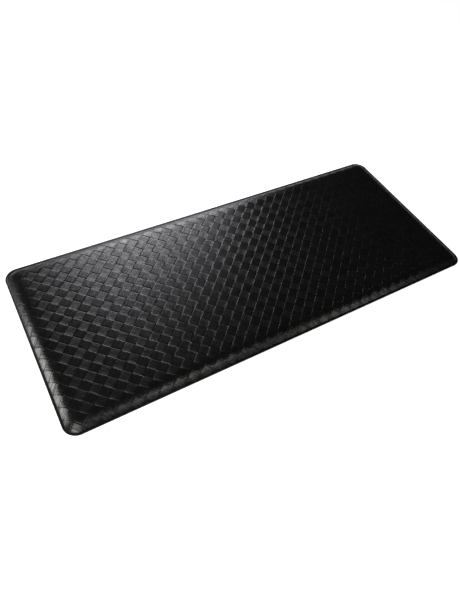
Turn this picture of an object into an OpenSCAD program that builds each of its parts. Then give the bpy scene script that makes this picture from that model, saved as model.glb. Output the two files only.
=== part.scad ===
// Anti fatigue mat: a layered standing mat with a bevelled rim and a welted edge.
// Origin at the middle of the underside, +X along the length, +Z up, millimetres.

/* [Mat] */
// Length of the mat
mat_l = 1219; // [600:1:1800]
// Width of the mat
mat_w = 508; // [400:1:900]
// Height of the standing face above the floor
mat_t = 19; // [16:0.5:25]
// Radius of the outer corners, which the bevel shares
corner_r = 34; // [25:1:60]

/* [Edge band] */
// Width of the band's two lips
band_w = 6; // [4:0.5:8]
// Thickness of each lip
lip_t = 0.8; // [0.5:0.1:1]
// Thickness of the band's outer wall
band_wall = 1; // [0.8:0.1:1.5]

/* [Bevel] */
// How early the bevel flattens out towards the standing face
bevel_power = 1.85; // [1.6:0.05:2.4]

/* [Layers] */
// Thickness of the embossed skin
cover_t = 1.2; // [0.8:0.1:1.6]
// Thickness of each scrim cloth
scrim_t = 0.4; // [0.2:0.1:0.6]
// Thickness of the gel pad
gel_t = 4.2; // [2:0.1:6]
// Thickness of the grip sheet underneath
base_t = 1.8; // [1.4:0.1:2.4]

/* [Hidden] */
$fn = 96;

// Height of the bevel's foot, where the skin leaves the band
foot_z = base_t + cover_t;
band_h = foot_z + lip_t;
bevel_w = corner_r - band_w;
bevel_h = mat_t - foot_z;

// Undersides of the layers, from the skin down
skin_z = mat_t - cover_t;
gel_top = skin_z - scrim_t;
gel_bottom = gel_top - gel_t;
foam_top = gel_bottom - scrim_t;

// Chords along the bevel, and along one rounded edge of the band
bevel_steps = 14;
foam_steps = 8;
gel_steps = 3;
round_steps = 6;
halvings = 30;

// A profile point is [d, z]: d is the distance in from the mat's outer edge.
// Points are held to a micron, so that the straight runs and the corners meet exactly.
micron = 0.001;
function held(point) = [for (x = point) round(x / micron) * micron];

// The bevel rises from t = 0 at its foot to t = 1 at the standing face.
function outer_d(t) = band_w + bevel_w * t;
function outer_z(t) = foot_z + bevel_h * (1 - pow(1 - t, bevel_power));
function outer_point(t) = held([outer_d(t), outer_z(t)]);
function slope(t) = bevel_h / bevel_w * bevel_power * pow(1 - t, bevel_power - 1);
function slant(t) = sqrt(1 + pow(slope(t), 2));

// The skin's inner face is the bevel moved in by the skin's thickness.
function inner_d(t) = outer_d(t) + cover_t * slope(t) / slant(t);
function inner_z(t) = outer_z(t) - cover_t / slant(t);
function inner_point(t) = held([inner_d(t), inner_z(t)]);

// Place on the bevel where the inner face reaches height z, by halving.
function t_at(z, low = 0, high = 1, n = halvings) =
    let (mid = (low + high) / 2)
    n == 0 ? mid
    : inner_z(mid) < z ? t_at(z, mid, high, n - 1)
    : t_at(z, low, mid, n - 1);

// Where the straight-on inner face meets the top of the grip sheet
inner_foot = held([inner_d(0) - (inner_z(0) - base_t) / slope(0), base_t]);

// The inner face between two heights
function inner_face(z0, z1, steps) =
    [for (i = [0 : steps]) inner_point(t_at(z0 + (z1 - z0) * i / steps))];

// The trimmed rims of the layers, from the lower edge to the upper one. The upper
// scrim's rim needs one point only, because the bevel ends where the middle begins.
foam_rim = concat([inner_foot], inner_face(inner_z(0), foam_top, foam_steps));
lower_scrim_rim = inner_face(foam_top, gel_bottom, 1);
gel_rim = inner_face(gel_bottom, gel_top, gel_steps);
upper_scrim_rim = [inner_point(t_at(gel_top))];

function reversed(points) = [for (i = [len(points) - 1 : -1 : 0]) points[i]];

// A quarter circle about c, from angle a, turning the way sign says
function quarter(c, r, a, sign) =
    [for (i = [0 : round_steps])
        let (b = a + sign * 90 * i / round_steps)
        held(c + r * [cos(b), sin(b)])];

// A straight run of the profile along the side at -Y, half_span from the middle
module side_run(points, run, half_span) {
    translate([-run / 2, -half_span, 0])
        rotate([90, 0, 90])
            linear_extrude(height = run)
                polygon(points);
}

// A quarter turn of the profile about a corner's centre
module corner_turn(points) {
    rotate_extrude(angle = 90)
        polygon([for (p = points) [corner_r - p[0], p[1]]]);
}

// The profile swept once round the mat
module rim(points) {
    run_x = mat_l - 2 * corner_r;
    run_y = mat_w - 2 * corner_r;
    for (turn = [0, 180]) {
        rotate(turn) side_run(points, run_x, mat_w / 2);
        rotate(turn + 90) side_run(points, run_y, mat_l / 2);
        rotate(turn) translate([run_x / 2, run_y / 2, 0]) corner_turn(points);
        rotate(turn) translate([-run_x / 2, run_y / 2, 0]) rotate(90) corner_turn(points);
    }
}

// The flat middle of a layer, between two heights
module middle(z0, z1) {
    translate([corner_r - mat_l / 2, corner_r - mat_w / 2, z0])
        cube([mat_l - 2 * corner_r, mat_w - 2 * corner_r, z1 - z0]);
}

// A cushion layer whose edge is trimmed to the bevel
module trimmed_layer(edge, z0, z1) {
    rim(concat(edge, [[corner_r, z1], [corner_r, z0]]));
    middle(z0, z1);
}

// Embossed skin: a shallow dish, face down, with a flat flange that the band holds
module top_cover() {
    outside = [for (i = [0 : bevel_steps]) outer_point(i / bevel_steps)];
    inside = concat(
        [inner_foot],
        inner_face(inner_z(0), foam_top, foam_steps),
        inner_face(gel_bottom, gel_top, gel_steps),
        [[corner_r, skin_z]]
    );
    flange = [[band_wall, base_t], [band_wall, foot_z]];
    color("#2b2a2c") {
        rim(concat(flange, outside, reversed(inside)));
        middle(skin_z, mat_t);
    }
}

// Scrim cloth bonded between the skin and the gel
module upper_scrim() {
    color("#8d8a83") trimmed_layer(upper_scrim_rim, gel_top, skin_z);
}

// Soft gel under the feet
module gel_pad() {
    color("#5b7f95") trimmed_layer(gel_rim, gel_bottom, gel_top);
}

// Scrim cloth bonded between the gel and the foam
module lower_scrim() {
    color("#9a968c") trimmed_layer(lower_scrim_rim, foam_top, gel_bottom);
}

// Springy foam that gives the mat its height and fills the bevel
module foam_core() {
    color("#3a3a3f") trimmed_layer(foam_rim, base_t, foam_top);
}

// Grip sheet underneath, with a thinned margin that the band holds
module base_sheet() {
    margin = [[band_w, 0], [band_w, lip_t], [band_wall, lip_t], [band_wall, base_t]];
    color("#1f1f21") {
        rim(concat(margin, [[corner_r, base_t], [corner_r, 0]]));
        middle(0, base_t);
    }
}

// Welt of U section that clamps the skin's flange and the grip sheet together
module edge_band() {
    nose_r = lip_t;
    bottom = quarter([nose_r, nose_r], nose_r, 270, -1);
    top = quarter([nose_r, band_h - nose_r], nose_r, 180, -1);
    throat = [[band_w, foot_z], [band_wall, foot_z], [band_wall, lip_t], [band_w, lip_t]];
    color("#161617") rim(concat(bottom, top, [[band_w, band_h]], throat, [[band_w, 0]]));
}

top_cover();
upper_scrim();
gel_pad();
lower_scrim();
foam_core();
base_sheet();
edge_band();
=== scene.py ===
"""An anti fatigue mat: an embossed skin over gel and foam, a welted edge and a grip sheet.

The CAD frame gives the outline and heights. The embossed skin, the welt and the grip sheet are
meshes built here; the scrims, the gel and the foam inside stay as CAD has them.
"""
import math

import bpy
import numpy as np
from mathutils import Matrix, Vector


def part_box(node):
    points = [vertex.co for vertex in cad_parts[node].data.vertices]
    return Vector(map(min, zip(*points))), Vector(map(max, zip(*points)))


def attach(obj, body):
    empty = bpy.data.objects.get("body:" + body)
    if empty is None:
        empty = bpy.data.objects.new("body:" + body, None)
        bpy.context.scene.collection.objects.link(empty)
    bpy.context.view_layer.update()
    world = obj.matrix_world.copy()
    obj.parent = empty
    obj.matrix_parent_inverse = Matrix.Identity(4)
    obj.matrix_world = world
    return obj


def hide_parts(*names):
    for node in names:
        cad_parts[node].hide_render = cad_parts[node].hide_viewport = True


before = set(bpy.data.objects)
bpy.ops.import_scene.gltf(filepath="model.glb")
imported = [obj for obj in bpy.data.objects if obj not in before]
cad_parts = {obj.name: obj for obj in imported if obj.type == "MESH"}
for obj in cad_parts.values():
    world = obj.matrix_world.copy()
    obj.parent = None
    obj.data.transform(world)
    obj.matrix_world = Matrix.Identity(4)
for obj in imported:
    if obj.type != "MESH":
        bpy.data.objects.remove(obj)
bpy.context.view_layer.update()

MM = 0.001
ROOT = "root"

# The mat's outline and heights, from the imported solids
BAND_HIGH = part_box("edge_band")[1]
HALF_L, HALF_W = BAND_HIGH.x, BAND_HIGH.y
TOP_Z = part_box("top_cover")[1].z
SKIN_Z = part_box("upper_scrim")[1].z
BASE_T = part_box("base_sheet")[1].z
BAND_H = BAND_HIGH.z
SKIN_T = TOP_Z - SKIN_Z
FOOT_Z = BASE_T + SKIN_T
LIP_T = BAND_H - FOOT_Z
BAND_WALL = HALF_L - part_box("top_cover")[1].x

# The rounded corner, the width of the band and the inner bevel, as the CAD design has them
CORNER_R = 34 * MM
BAND_W = 6 * MM
INNER_BEVEL_W = CORNER_R - BAND_W
INNER_BEVEL_POWER = 1.85

# The bevel that shows: it eases into the standing face further in, and rounds its corners
EASE_W = 40 * MM
EASE_POWER = 2.4
EASE_CORNER_POWER = 2.43

# The basket weave: diagonal strips, which repeat along X and Y, from the middle of one cell.
# Walls and steps are parts of a cell, and RELIEF_BELOW is the part of the relief that is sunk.
WEAVE_REPEAT = (35.25 * MM, 34.15 * MM)
WEAVE_AT = (-1.6 * MM, 14.0 * MM)
CELL = 24.5 * MM
RELIEF = 0.47 * MM
RELIEF_BELOW = 0.8
SIDE_WALL = 0.026
END_WALL = 0.052
CELL_STEPS = (0.0, SIDE_WALL, END_WALL, 0.13, 0.5, 0.87, 1 - END_WALL, 1 - SIDE_WALL)
CRISP_ANGLE = 24
RELIEF_FADE = 3 * MM
BEVEL_RELIEF = 0.4
INNER_FACE_STEPS = (0, 0.1, 0.22, 0.36, 0.52, 0.7, 0.88, 0.98)

# The skin's finish: lines tooled along each strip, hair lines, grain and a finer unevenness
LINES_PER_STRIP = 7
LINE_DEPTH = 0.09 * MM
HAIR_SIZE = (2.4 * MM, 20 * MM)
HAIR_DEPTH = 0.04 * MM
GRAIN_SIZE, GRAIN_DEPTH = 0.9 * MM, 0.03 * MM
FINE_SIZE, FINE_DEPTH = 2.5 * MM, 0.14 * MM
SKIN_DARK, SKIN_LIGHT = (0.0042, 0.0041, 0.0044), (0.0085, 0.0082, 0.0086)
SKIN_ROUGH, ROUGH_BY_FINE, ROUGH_BY_WEAR = 0.24, 0.07, 0.05

# Its gloss: brushed on the bevel and on the flat, and how much it shines by hair lines, by
# unevenness and in a seam, where painted shade takes the gloss from its bottom, fading out
# between two parts of a cell
BRUSHED = (0.1, 0.31)
BRUSHED_FROM = BAND_W + 6 * MM
SHINE_BY_HAIR = (0.26, 0.78)
SHINE_BY_FINE = (0.75, 1.25)
# Painted shade: the seams' bottoms get almost no gloss, standing in for the shade that falls in the
# grooves
SHINE_IN_PAINTED_SEAM_SHADE = 0.03
PAINTED_SEAM_SHADE_SPAN = (0.010, 0.028)

# The welt's outer corners, and how far its crown wavers
WELT_CORNER = 1.1 * MM
WELT_WAVER = 0.05 * MM
WAVER_TURNS = (37, 91)

# The grip studs underneath, in diagonal rows
STUD_REPEAT = (17 * MM, 17 * MM)
STUD_STEPS = (0.0, 0.3, 0.7)
STUD_H = 0.5 * MM

# The camera: its place and what it looks at in metres, its roll in degrees and its lens in mm
CAMERA_PLACE = (-0.599, -0.712, 1.063)
CAMERA_AIM = (-0.099, -0.063, 0.0)
CAMERA_ROLL = 10
CAMERA_LENS = 30.3
SENSOR_W = 36

# How strongly the floor glows to the camera, and the backdrop as seen and as a light
FLOOR_GLOW = 0.9
BACKDROP_SEEN, BACKDROP_GIVEN = 1.0, 0.02

# Soft lamps round the mat: name, place in metres, watts and tint
LAMP_RADIUS = 0.25
COOL, WARM = (0.96, 0.96, 1.0), (1.0, 0.99, 0.96)
LAMPS = (
    ("behind_low_left", (-0.2, 0.8, 0.3), 8, COOL),
    ("behind_low_right", (0.2, 0.8, 0.3), 10, COOL),
    ("behind_raised", (-0.2, 0.8, 0.6), 6, COOL),
    ("behind_high", (0.3, 1.4, 1.0), 18, COOL),
    ("left_low", (-1.3, 0.3, 0.2), 20, WARM),
    ("left_near", (-0.9, -0.6, 0.3), 10, WARM),
    ("front", (0.0, -1.3, 1.1), 12, WARM),
    ("front_right", (0.8, -1.1, 0.6), 5, WARM),
)


# ---------------------------------------------------------------- plan geometry

def nearest_centre(p):
    """For points in plan, the nearest point of the rectangle through the corner centres."""
    half = np.array([HALF_L - CORNER_R, HALF_W - CORNER_R])
    return np.clip(p, -half, half)


def inset(p):
    """How far each point in plan is in from the mat's outer edge."""
    out = p - nearest_centre(p)
    rounded = CORNER_R - np.linalg.norm(out, axis=1)
    straight = np.minimum(HALF_L - np.abs(p[:, 0]), HALF_W - np.abs(p[:, 1]))
    return np.where(np.linalg.norm(out, axis=1) > 0, rounded, straight)


def rounded_outline(edge_inset, chords=16, step=None):
    """A rounded rectangle as a closed anticlockwise list of points in plan."""
    radius = CORNER_R - edge_inset
    cx, cy = HALF_L - CORNER_R, HALF_W - CORNER_R
    corners = []
    for turn, (sx, sy) in enumerate(((1, 1), (-1, 1), (-1, -1), (1, -1))):
        for k in range(chords + 1):
            a = math.pi / 2 * (turn + k / chords)
            corners.append((sx * cx + radius * math.cos(a), sy * cy + radius * math.sin(a)))
    if step is None:
        return np.array(corners)
    points = []
    for a, b in zip(corners, corners[1:] + corners[:1]):
        runs = max(1, round(math.dist(a, b) / step))
        points += [tuple(np.add(a, np.subtract(b, a) * k / runs)) for k in range(runs)]
    return np.array(points)


def to_strips(p, repeat, at=(0.0, 0.0)):
    """Points in plan as places across the two sets of diagonal strips, one unit to a strip."""
    x, y = (p[:, 0] - at[0]) / repeat[0], (p[:, 1] - at[1]) / repeat[1]
    return x + y + 0.5, y - x + 0.5


def from_strips(u, v, repeat, at=(0.0, 0.0)):
    """The points in plan of places across the strips, the reverse of to_strips."""
    x, y = at[0] + (u - v) / 2 * repeat[0], at[1] + (u + v - 1) / 2 * repeat[1]
    return np.stack([x, y], axis=-1)


def clip_polygon(points, sides):
    """The part of a convex polygon inside every side, each given as (nx, ny, limit)."""
    for nx, ny, limit in sides:
        over = [nx * x + ny * y - limit for x, y in points]
        if max(over) <= 0:
            continue
        kept = []
        for k, (a, da) in enumerate(zip(points, over)):
            b, db = points[(k + 1) % len(points)], over[(k + 1) % len(points)]
            if da <= 0:
                kept.append(a)
            if da * db < 0:
                t = da / (da - db)
                kept.append((a[0] + (b[0] - a[0]) * t, a[1] + (b[1] - a[1]) * t))
        points = kept
        if len(points) < 3:
            return []
    return points


def diagonal_grid(outline, steps, repeat, at=(0.0, 0.0)):
    """Points and faces of a diagonal grid, cut to a convex outline.

    steps are the places of the grid lines within one strip. The outline's own edge points are
    shared between the faces that it cuts.
    """
    edge = np.roll(outline, -1, axis=0) - outline
    normals = np.stack([edge[:, 1], -edge[:, 0]], axis=1)
    lengths = np.linalg.norm(normals, axis=1)
    normals = normals[lengths > 1e-9] / lengths[lengths > 1e-9][:, None]
    limits = (normals * outline[lengths > 1e-9]).sum(axis=1)
    sides = [(*n, c) for n, c in zip(normals.tolist(), limits.tolist())]

    strips = math.ceil(HALF_L / repeat[0] + HALF_W / repeat[1]) + 2
    lines = np.array([k + s for k in range(-strips, strips) for s in steps])
    u, v = np.meshgrid(lines, lines, indexing="ij")
    grid = from_strips(u, v, repeat, at).reshape(-1, 2)
    outside = (grid @ normals.T - limits).max(axis=1)

    n = len(lines)
    index = np.arange(n * n).reshape(n, n)
    quads = np.stack([index[:-1, :-1], index[1:, :-1], index[1:, 1:], index[:-1, 1:]], axis=2)
    quads = quads.reshape(-1, 4)
    whole = (outside[quads] <= 0).all(axis=1)
    near = ~whole & (outside[quads].min(axis=1) < max(repeat))

    used, faces = np.unique(quads[whole], return_inverse=True)
    points, faces = [tuple(p) for p in grid[used].tolist()], faces.reshape(-1, 4).tolist()
    number = {grain(p): k for k, p in enumerate(points)}
    for quad in quads[near]:
        ring = []
        for p in clip_polygon([tuple(grid[i].tolist()) for i in quad], sides):
            if grain(p) not in number:
                number[grain(p)] = len(points)
                points.append(p)
            if number[grain(p)] not in ring:
                ring.append(number[grain(p)])
        if len(ring) >= 3:
            faces.append(ring)
    return np.array(points), faces


def grain(p, size=0.02 * MM):
    """A key that points nearer than the grain share."""
    return round(p[0] / size), round(p[1] / size)


def rim_order(faces, points):
    """The open border of a face list, in order round the mat."""
    uses = {}
    for face in faces:
        for a, b in zip(face, face[1:] + face[:1]):
            uses[(a, b)] = uses.get((a, b), 0) + 1
    follow = {a: b for (a, b) in uses if (b, a) not in uses}
    start = max(follow, key=lambda i: points[i][0])
    ring, at = [start], follow[start]
    while at != start:
        ring.append(at)
        at = follow[at]
    return ring


# ---------------------------------------------------------------- heights

def inner_bevel(t):
    """[inset, height] of the skin's inner face, from its foot at t = 0 to the flat at t = 1."""
    rise = TOP_Z - FOOT_Z
    slope = rise / INNER_BEVEL_W * INNER_BEVEL_POWER * (1 - t) ** (INNER_BEVEL_POWER - 1)
    slant = math.hypot(1, slope)
    d = BAND_W + INNER_BEVEL_W * t + SKIN_T * slope / slant
    z = FOOT_Z + rise * (1 - (1 - t) ** INNER_BEVEL_POWER) - SKIN_T / slant
    return d, z


def bevel_height(p):
    """Height of the smooth skin over points in plan."""
    lack_x = np.clip(1 - (HALF_L - np.abs(p[:, 0])) / EASE_W, 0, 1)
    lack_y = np.clip(1 - (HALF_W - np.abs(p[:, 1])) / EASE_W, 0, 1)
    k = EASE_CORNER_POWER
    lack = (lack_x ** k + lack_y ** k) ** (1 / k)
    t = np.clip((EASE_W * (1 - lack) - BAND_W) / (EASE_W - BAND_W), 0, 1)
    return FOOT_Z + (TOP_Z - FOOT_Z) * (1 - (1 - t) ** EASE_POWER)


def smooth(x):
    """0 up to 0 and 1 from 1 on, smooth between."""
    x = np.clip(x, 0, 1)
    return x * x * (3 - 2 * x)


def weave_height(p):
    """Height of the basket weave over points in plan, from 0 along its seams to 1 on a strip.

    Each cell shows a length of one strip, with steep walls by its sides and gentler ones where
    its two ends dive under the strips that cross it.
    """
    u, v = to_strips(p, WEAVE_REPEAT, WEAVE_AT)
    iu, iv = np.floor(u + 1e-6), np.floor(v + 1e-6)
    fu, fv = np.abs(u - iu), np.abs(v - iv)
    over = (iu + iv) % 2 == 0
    along, across = np.where(over, fu, fv), np.where(over, fv, fu)
    to_end, to_side = np.minimum(along, 1 - along), np.minimum(across, 1 - across)
    return np.clip(np.minimum(to_end / END_WALL, to_side / SIDE_WALL), 0, 1)


# ---------------------------------------------------------------- meshes

def ring_points(rim, edge_inset, z):
    """The rim's points moved square to the edge, to another inset and height."""
    centre = nearest_centre(rim)
    out = rim - centre
    out /= np.linalg.norm(out, axis=1)[:, None]
    flat = centre + out * (CORNER_R - edge_inset)
    return np.column_stack([flat, np.full(len(rim), z)])


def closed_sheet(name, points, faces, section, upwards):
    """A mesh of a cut grid, rings from its rim along a section, and one face across the last.

    section lists the [inset, height] of each ring. upwards says which way the grid faces.
    """
    rim = rim_order(faces, points)
    rim_plan = points[rim][:, :2]
    rings = [ring_points(rim_plan, d, z) for d, z in section]
    total = np.concatenate([points, *rings])
    all_faces = [list(f) for f in faces]
    last, n = rim, len(rim)
    for k in range(len(rings)):
        first = len(points) + k * n
        ring = list(range(first, first + n))
        for i in range(n):
            j = (i + 1) % n
            all_faces.append([last[j], last[i], ring[i], ring[j]])
        last = ring
    all_faces.append(list(reversed(last)))
    if not upwards:
        all_faces = [list(reversed(f)) for f in all_faces]
    return new_piece(name, total, all_faces)


def new_piece(name, points, faces):
    mesh = bpy.data.meshes.new(name)
    mesh.from_pydata([tuple(p) for p in points], [], faces)
    mesh.validate()
    mesh.shade_smooth()
    piece = bpy.data.objects.new(name, mesh)
    bpy.context.scene.collection.objects.link(piece)
    return piece


def embossed_skin():
    """The skin: woven relief on top, a flange under the band and a smooth inner face."""
    outline = rounded_outline(BAND_W)
    plan, faces = diagonal_grid(outline, CELL_STEPS, WEAVE_REPEAT, WEAVE_AT)
    in_from_band = inset(plan) - BAND_W
    on_flat = BEVEL_RELIEF + (1 - BEVEL_RELIEF) * smooth(in_from_band / (EASE_W - BAND_W))
    fade = smooth(in_from_band / RELIEF_FADE) * on_flat
    relief = RELIEF * (weave_height(plan) - RELIEF_BELOW) * fade
    points = np.column_stack([plan, bevel_height(plan) + relief])
    foot_d, foot_z = inner_bevel(0)
    section = [(BAND_WALL, FOOT_Z), (BAND_WALL, BASE_T), (foot_d, BASE_T)]
    section += [inner_bevel(t) for t in INNER_FACE_STEPS]
    skin = closed_sheet("woven_skin", points, faces, section, upwards=True)
    skin.data.set_sharp_from_angle(angle=math.radians(CRISP_ANGLE))
    return skin


def grip_sheet():
    """The sheet underneath, with low square studs and a thinned margin."""
    outline = rounded_outline(BAND_W)
    plan, faces = diagonal_grid(outline, STUD_STEPS, STUD_REPEAT)
    u, v = to_strips(plan, STUD_REPEAT)
    from_line = np.minimum(np.abs(u - np.round(u)), np.abs(v - np.round(v)))
    height = STUD_H * (1 - np.clip(from_line / STUD_STEPS[1], 0, 1))
    edge = inset(plan) < BAND_W + 0.1 * MM
    points = np.column_stack([plan, np.where(edge, STUD_H / 2, height)])
    section = [(BAND_W, LIP_T), (BAND_WALL, LIP_T), (BAND_WALL, BASE_T), (CORNER_R - MM, BASE_T)]
    return closed_sheet("grip_sheet", points, faces, section, upwards=False)


def arc(centre, radii, start, end, steps):
    """Points on a stretch of an ellipse, between two angles in degrees."""
    angles = np.radians(np.linspace(start, end, steps + 1))
    return [(centre[0] + radii[0] * math.cos(a), centre[1] + radii[1] * math.sin(a)) for a in angles]


def welt_section():
    """The welt's [inset, height] round its U: outside, crown, lip on the skin, and inside."""
    corner = WELT_CORNER
    section = [(BAND_W, 0), ((BAND_W + corner) / 2, 0)]
    section += arc((corner, corner), (corner, corner), 270, 180, 4)
    section += arc((corner, BAND_H - corner), (corner, corner), 180, 90, 4)
    section += arc((2 * corner, FOOT_Z), (BAND_W - 2 * corner, BAND_H - FOOT_Z), 90, 0, 6)
    middle = (BAND_W + BAND_WALL) / 2
    section += [(middle, FOOT_Z), (BAND_WALL, FOOT_Z), (BAND_WALL, (FOOT_Z + LIP_T) / 2)]
    return section + [(BAND_WALL, LIP_T), (middle, LIP_T), (BAND_W, LIP_T)]


def swept_band():
    """The welt: a rounded U section swept round the edge, with the slight waver of a real one."""
    section = welt_section()
    path = rounded_outline(BAND_W, chords=20, step=7 * MM)
    n, rings = len(path), []
    around = np.arange(n) / n * 2 * math.pi
    slow, quick = WAVER_TURNS
    waver = (np.sin(slow * around) + 0.7 * np.sin(quick * around + 1.3)) / 1.7
    for d, z in section:
        ring = ring_points(path, d, z)
        ring[:, 2] += WELT_WAVER * waver * smooth((z - FOOT_Z) / (0.5 * MM))
        rings.append(ring)
    points = np.concatenate(rings)
    faces = []
    for k in range(len(section)):
        a, b = k * n, (k + 1) % len(section) * n
        for i in range(n):
            j = (i + 1) % n
            faces.append([a + i, b + i, b + j, a + j])
    return new_piece("welt", points, [list(reversed(f)) for f in faces])


# ---------------------------------------------------------------- materials

class Shader:
    """A node material, with short ways to add and join nodes."""

    def __init__(self, name):
        self.material = bpy.data.materials.new(name)
        self.material.use_nodes = True
        self.tree = self.material.node_tree
        self.surface = self.tree.nodes["Principled BSDF"]

    def plug(self, socket, value):
        if isinstance(value, bpy.types.NodeSocket):
            self.tree.links.new(value, socket)
        elif value is not None:
            socket.default_value = value

    def math(self, operation, *values, clamp=False):
        node = self.tree.nodes.new("ShaderNodeMath")
        node.operation = operation
        node.use_clamp = clamp
        for socket, value in zip(node.inputs, values):
            self.plug(socket, value)
        return node.outputs[0]

    def place(self):
        return self.tree.nodes.new("ShaderNodeTexCoord").outputs["Object"]

    def dot(self, vector, direction):
        node = self.tree.nodes.new("ShaderNodeVectorMath")
        node.operation = "DOT_PRODUCT"
        self.plug(node.inputs[0], vector)
        node.inputs[1].default_value = direction
        return node.outputs["Value"]

    def combine(self, x, y, z=0.0):
        node = self.tree.nodes.new("ShaderNodeCombineXYZ")
        for socket, value in zip(node.inputs, (x, y, z)):
            self.plug(socket, value)
        return node.outputs[0]

    def noise(self, vector, scale, detail=2.0, rough=0.5):
        node = self.tree.nodes.new("ShaderNodeTexNoise")
        self.plug(node.inputs["Vector"], vector)
        node.inputs["Scale"].default_value = scale
        node.inputs["Detail"].default_value = detail
        node.inputs["Roughness"].default_value = rough
        return node.outputs[0]

    def cells(self, vector, scale):
        node = self.tree.nodes.new("ShaderNodeTexVoronoi")
        self.plug(node.inputs["Vector"], vector)
        node.inputs["Scale"].default_value = scale
        return node.outputs[0]

    def chance(self, vector):
        node = self.tree.nodes.new("ShaderNodeTexWhiteNoise")
        node.noise_dimensions = "3D"
        self.plug(node.inputs["Vector"], vector)
        return node.outputs["Value"]

    def between(self, factor, low, high):
        """low where factor is 0 and high where it is 1."""
        return self.math("MULTIPLY_ADD", factor, self.math("SUBTRACT", high, low), low)

    def ramp(self, value, start, end):
        """0 up to start and 1 from end on, smooth between."""
        node = self.tree.nodes.new("ShaderNodeMapRange")
        node.interpolation_type = "SMOOTHSTEP"
        for socket, given in zip(node.inputs, (value, start, end)):
            self.plug(socket, given)
        return node.outputs[0]

    def colour(self, factor, low, high):
        node = self.tree.nodes.new("ShaderNodeMix")
        node.data_type = "RGBA"
        self.plug(node.inputs["Factor"], factor)
        node.inputs[6].default_value = (*low, 1)
        node.inputs[7].default_value = (*high, 1)
        return node.outputs[2]

    def bump(self, height, depth, normal=None):
        node = self.tree.nodes.new("ShaderNodeBump")
        node.inputs["Strength"].default_value = 1.0
        node.inputs["Distance"].default_value = depth
        self.plug(node.inputs["Height"], height)
        self.plug(node.inputs["Normal"], normal)
        return node.outputs[0]

    def finish(self, colour, roughness, normal, **rest):
        self.plug(self.surface.inputs["Base Color"], colour)
        self.plug(self.surface.inputs["Roughness"], roughness)
        self.plug(self.surface.inputs["Normal"], normal)
        for name, value in rest.items():
            self.plug(self.surface.inputs[name.replace("_", " ")], value)
        return self.material


def skin_material():
    """Black embossed polyurethane: each strip has fine lines along it, and a soft grain."""
    s = Shader("embossed_skin")
    place = s.place()
    kx, ky = 1 / WEAVE_REPEAT[0], 1 / WEAVE_REPEAT[1]
    x0, y0 = WEAVE_AT[0] * kx, WEAVE_AT[1] * ky
    u = s.math("ADD", s.dot(place, (kx, ky, 0)), 0.5 - x0 - y0)
    v = s.math("ADD", s.dot(place, (-kx, ky, 0)), 0.5 + x0 - y0)
    iu, iv = s.math("FLOOR", u), s.math("FLOOR", v)
    fu, fv = s.math("FRACT", u), s.math("FRACT", v)
    odd = s.math("MULTIPLY", s.math("FRACT", s.math("MULTIPLY", s.math("ADD", iu, iv), 0.5)), 2.0)
    along = s.between(odd, fu, fv)
    across = s.between(odd, fv, fu)
    chance = s.chance(s.combine(iu, iv))

    # Tooled lines: close pairs by the strip's two sides, and faint ones in its middle
    off_middle = s.math("ABSOLUTE", s.math("SUBTRACT", across, 0.5))
    by_side = s.math("SMOOTH_MIN", 1.0, s.math("MULTIPLY", off_middle, 2.6), 0.2)
    wave = s.math("SINE", s.math("MULTIPLY", across, 2 * math.pi * LINES_PER_STRIP))
    by_side = s.math("MULTIPLY_ADD", s.math("MULTIPLY", by_side, by_side), 0.7, 0.3)
    lines = s.math("MULTIPLY", wave, by_side)

    # Hair lines that run along each strip
    shift = s.math("MULTIPLY", chance, 40.0)
    hair_place = s.combine(
        s.math("MULTIPLY", across, CELL / HAIR_SIZE[0]),
        s.math("MULTIPLY", along, CELL / HAIR_SIZE[1]),
        shift,
    )
    hair = s.noise(hair_place, 1.0, detail=2.0, rough=0.6)
    grain = s.cells(place, 1 / GRAIN_SIZE)
    fine = s.noise(place, 1 / FINE_SIZE, detail=3.0)

    normal = s.bump(lines, LINE_DEPTH)
    normal = s.bump(hair, HAIR_DEPTH, normal)
    normal = s.bump(grain, GRAIN_DEPTH, normal)
    normal = s.bump(fine, FINE_DEPTH, normal)

    wear = s.noise(place, 9.0, detail=4.0)
    tint = s.math("ADD", s.math("MULTIPLY", chance, 0.5), s.math("MULTIPLY", wear, 0.6), clamp=True)
    colour = s.colour(tint, SKIN_DARK, SKIN_LIGHT)
    rough = s.math("ADD", SKIN_ROUGH, s.math("MULTIPLY", fine, ROUGH_BY_FINE))
    rough = s.math("ADD", rough, s.math("MULTIPLY", wear, ROUGH_BY_WEAR))
    side = s.math("MULTIPLY_ADD", odd, 2.0, -1.0)
    across_way = s.combine(side, 1.0)

    # The bevel is stretched smoother than the flat
    off_x = s.math("SUBTRACT", HALF_L, s.math("ABSOLUTE", s.dot(place, (1, 0, 0))))
    off_y = s.math("SUBTRACT", HALF_W, s.math("ABSOLUTE", s.dot(place, (0, 1, 0))))
    to_edge = s.math("MINIMUM", off_x, off_y)
    on_flat = s.ramp(to_edge, BRUSHED_FROM, EASE_W)
    brushed = s.between(on_flat, *BRUSHED)

    # Painted shade: the bottoms of the seams get almost no gloss, standing in for the shade that
    # falls in the grooves
    seam_u = s.math("MINIMUM", fu, s.math("SUBTRACT", 1.0, fu))
    seam_v = s.math("MINIMUM", fv, s.math("SUBTRACT", 1.0, fv))
    to_seam = s.math("MINIMUM", seam_u, seam_v)
    shine_with_painted_seam_shade = s.between(s.ramp(hair, 0.3, 0.7), *SHINE_BY_HAIR)
    shine_with_painted_seam_shade = s.math("MULTIPLY", shine_with_painted_seam_shade, s.between(s.ramp(fine, 0.3, 0.7), *SHINE_BY_FINE))
    out_of_painted_seam_shade = s.ramp(to_seam, *PAINTED_SEAM_SHADE_SPAN)
    shine_with_painted_seam_shade = s.math("MULTIPLY", shine_with_painted_seam_shade, s.between(out_of_painted_seam_shade, SHINE_IN_PAINTED_SEAM_SHADE, 1.0))
    # The gloss carries the hair lines and the unevenness, and the painted shade in the seams
    return s.finish(
        colour, rough, normal, Anisotropic=brushed, Tangent=across_way, Specular_IOR_Level=shine_with_painted_seam_shade
    )


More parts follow.
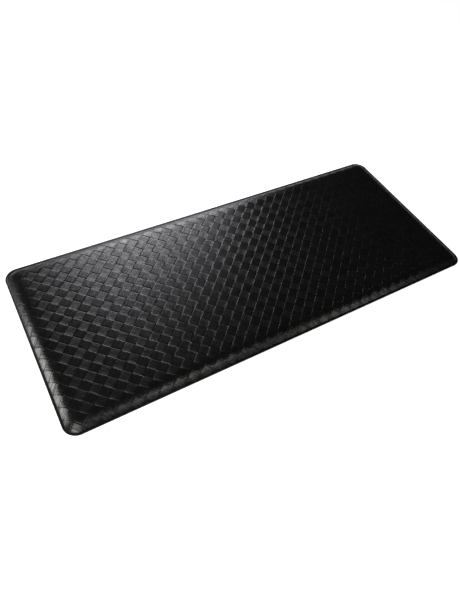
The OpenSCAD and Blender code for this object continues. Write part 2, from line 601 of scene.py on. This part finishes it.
def welt_material():
    """Smooth black strip, with a fine orange peel and faint rub marks."""
    s = Shader("welt")
    place = s.place()
    peel = s.noise(place, 1 / (1.6 * MM), detail=2.0)
    rub = s.noise(place, 60.0, detail=5.0, rough=0.65)
    colour = s.colour(rub, (0.004, 0.004, 0.0042), (0.011, 0.011, 0.0115))
    rough = s.between(rub, 0.3, 0.44)
    return s.finish(colour, rough, s.bump(peel, 0.06 * MM))


def grip_material():
    """Matt black rubbery sheet, finely pitted, with a faint cloudy dusting."""
    s = Shader("grip_sheet")
    place = s.place()
    pits = s.cells(place, 1 / (1.1 * MM))
    cloud = s.noise(place, 14.0, detail=5.0, rough=0.6)
    colour = s.colour(cloud, (0.010, 0.010, 0.011), (0.026, 0.025, 0.024))
    rough = s.between(cloud, 0.62, 0.82)
    return s.finish(colour, rough, s.bump(pits, 0.12 * MM))


def scrim_material():
    """Thin plain woven cloth."""
    s = Shader("scrim_cloth")
    place = s.place()
    thread = 2 * math.pi / (0.9 * MM)
    warp = s.math("SINE", s.dot(place, (thread, 0, 0)))
    weft = s.math("SINE", s.dot(place, (0, thread, 0)))
    weave = s.math("MULTIPLY", warp, weft)
    slub = s.noise(place, 120.0, detail=3.0)
    colour = s.colour(slub, (0.42, 0.40, 0.36), (0.60, 0.58, 0.53))
    return s.finish(colour, s.between(slub, 0.8, 0.95), s.bump(weave, 0.1 * MM))


def gel_material():
    """Soft translucent gel with a faint cloudiness."""
    s = Shader("gel")
    place = s.place()
    cloud = s.noise(place, 18.0, detail=4.0)
    ripple = s.noise(place, 1 / (6 * MM), detail=1.0)
    colour = s.colour(cloud, (0.06, 0.15, 0.24), (0.12, 0.25, 0.36))
    rough = s.between(cloud, 0.18, 0.32)
    return s.finish(colour, rough, s.bump(ripple, 0.15 * MM), Subsurface_Weight=0.3)


def foam_material():
    """Dark open cell foam."""
    s = Shader("foam")
    place = s.place()
    pores = s.cells(place, 1 / (1.4 * MM))
    cloud = s.noise(place, 25.0, detail=3.0)
    colour = s.colour(cloud, (0.03, 0.03, 0.034), (0.055, 0.055, 0.06))
    return s.finish(colour, s.between(cloud, 0.85, 0.98), s.bump(pores, 0.4 * MM))


# ---------------------------------------------------------------- the object

def dress(piece, material, slot, *nodes):
    """A piece of its own that stands for CAD nodes."""
    piece.data.materials.clear()
    piece.data.materials.append(material)
    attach(piece, ROOT)
    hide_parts(*nodes)
    return piece


def redress(node, material):
    """A CAD node that stays, with a better material."""
    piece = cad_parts[node]
    for place in piece.material_slots:
        place.material = material
    return piece


skin = dress(embossed_skin(), skin_material(), "embossed_skin", "top_cover")
welt = dress(swept_band(), welt_material(), "welt", "edge_band")
grip = dress(grip_sheet(), grip_material(), "grip_sheet", "base_sheet")

scrim = scrim_material()
upper_scrim = redress("upper_scrim", scrim)
lower_scrim = redress("lower_scrim", scrim)
gel = redress("gel_pad", gel_material())
foam = redress("foam_core", foam_material())


# ---------------------------------------------------------------- floor, lights and camera

def floor():
    half = 30.0
    drop = 0.2 * MM
    mesh = bpy.data.meshes.new("floor")
    turns = ((-1, -1), (1, -1), (1, 1), (-1, 1))
    corners = [(half * x, half * y, -drop) for x, y in turns]
    mesh.from_pydata(corners, [], [(0, 1, 2, 3)])
    plane = bpy.data.objects.new("floor", mesh)
    bpy.context.scene.collection.objects.link(plane)
    s = Shader("floor")
    shade = s.noise(s.place(), 3.0)
    s.finish(s.colour(shade, (0.93, 0.93, 0.93), (0.95, 0.95, 0.95)), 0.9, None)
    s.surface.inputs["Specular IOR Level"].default_value = 0.0
    seen = s.tree.nodes.new("ShaderNodeLightPath").outputs["Is Camera Ray"]
    s.surface.inputs["Emission Color"].default_value = (1, 1, 1, 1)
    s.plug(s.surface.inputs["Emission Strength"], s.math("MULTIPLY", seen, FLOOR_GLOW))
    mesh.materials.append(s.material)


def aimed(direction, roll):
    """A turn that points -Z along direction, rolled about it by some degrees."""
    turn = direction.to_track_quat("-Z", "Y").to_matrix().to_4x4()
    return turn @ Matrix.Rotation(math.radians(roll), 4, "Z")


def lamp(name, place, watts, tint):
    """A soft round lamp."""
    data = bpy.data.lights.new(name, "POINT")
    data.energy = watts
    data.shadow_soft_size = LAMP_RADIUS
    data.color = tint
    light = bpy.data.objects.new(name, data)
    light.location = place
    light.visible_camera = False
    bpy.context.scene.collection.objects.link(light)


def pale_world(seen, given):
    """A pale backdrop that gives only a little light."""
    world = bpy.data.worlds.new("world")
    bpy.context.scene.world = world
    world.use_nodes = True
    nodes, links = world.node_tree.nodes, world.node_tree.links
    background = nodes["Background"]
    path = nodes.new("ShaderNodeLightPath")
    level = nodes.new("ShaderNodeMix")
    level.data_type = "FLOAT"
    level.inputs[2].default_value = given
    level.inputs[3].default_value = seen
    links.new(path.outputs["Is Camera Ray"], level.inputs[0])
    links.new(level.outputs[0], background.inputs["Strength"])
    background.inputs["Color"].default_value = (1, 1, 1, 1)


def camera():
    data = bpy.data.cameras.new("camera")
    data.sensor_width = SENSOR_W
    data.lens = CAMERA_LENS
    data.clip_start = 0.01
    place = Vector(CAMERA_PLACE)
    eye = bpy.data.objects.new("camera", data)
    eye.matrix_world = Matrix.Translation(place) @ aimed(Vector(CAMERA_AIM) - place, CAMERA_ROLL)
    bpy.context.scene.collection.objects.link(eye)
    bpy.context.scene.camera = eye


floor()
for name, place, watts, tint in LAMPS:
    lamp(name, place, watts, tint)
pale_world(BACKDROP_SEEN, BACKDROP_GIVEN)
camera()
bpy.context.scene.view_settings.view_transform = "Standard"
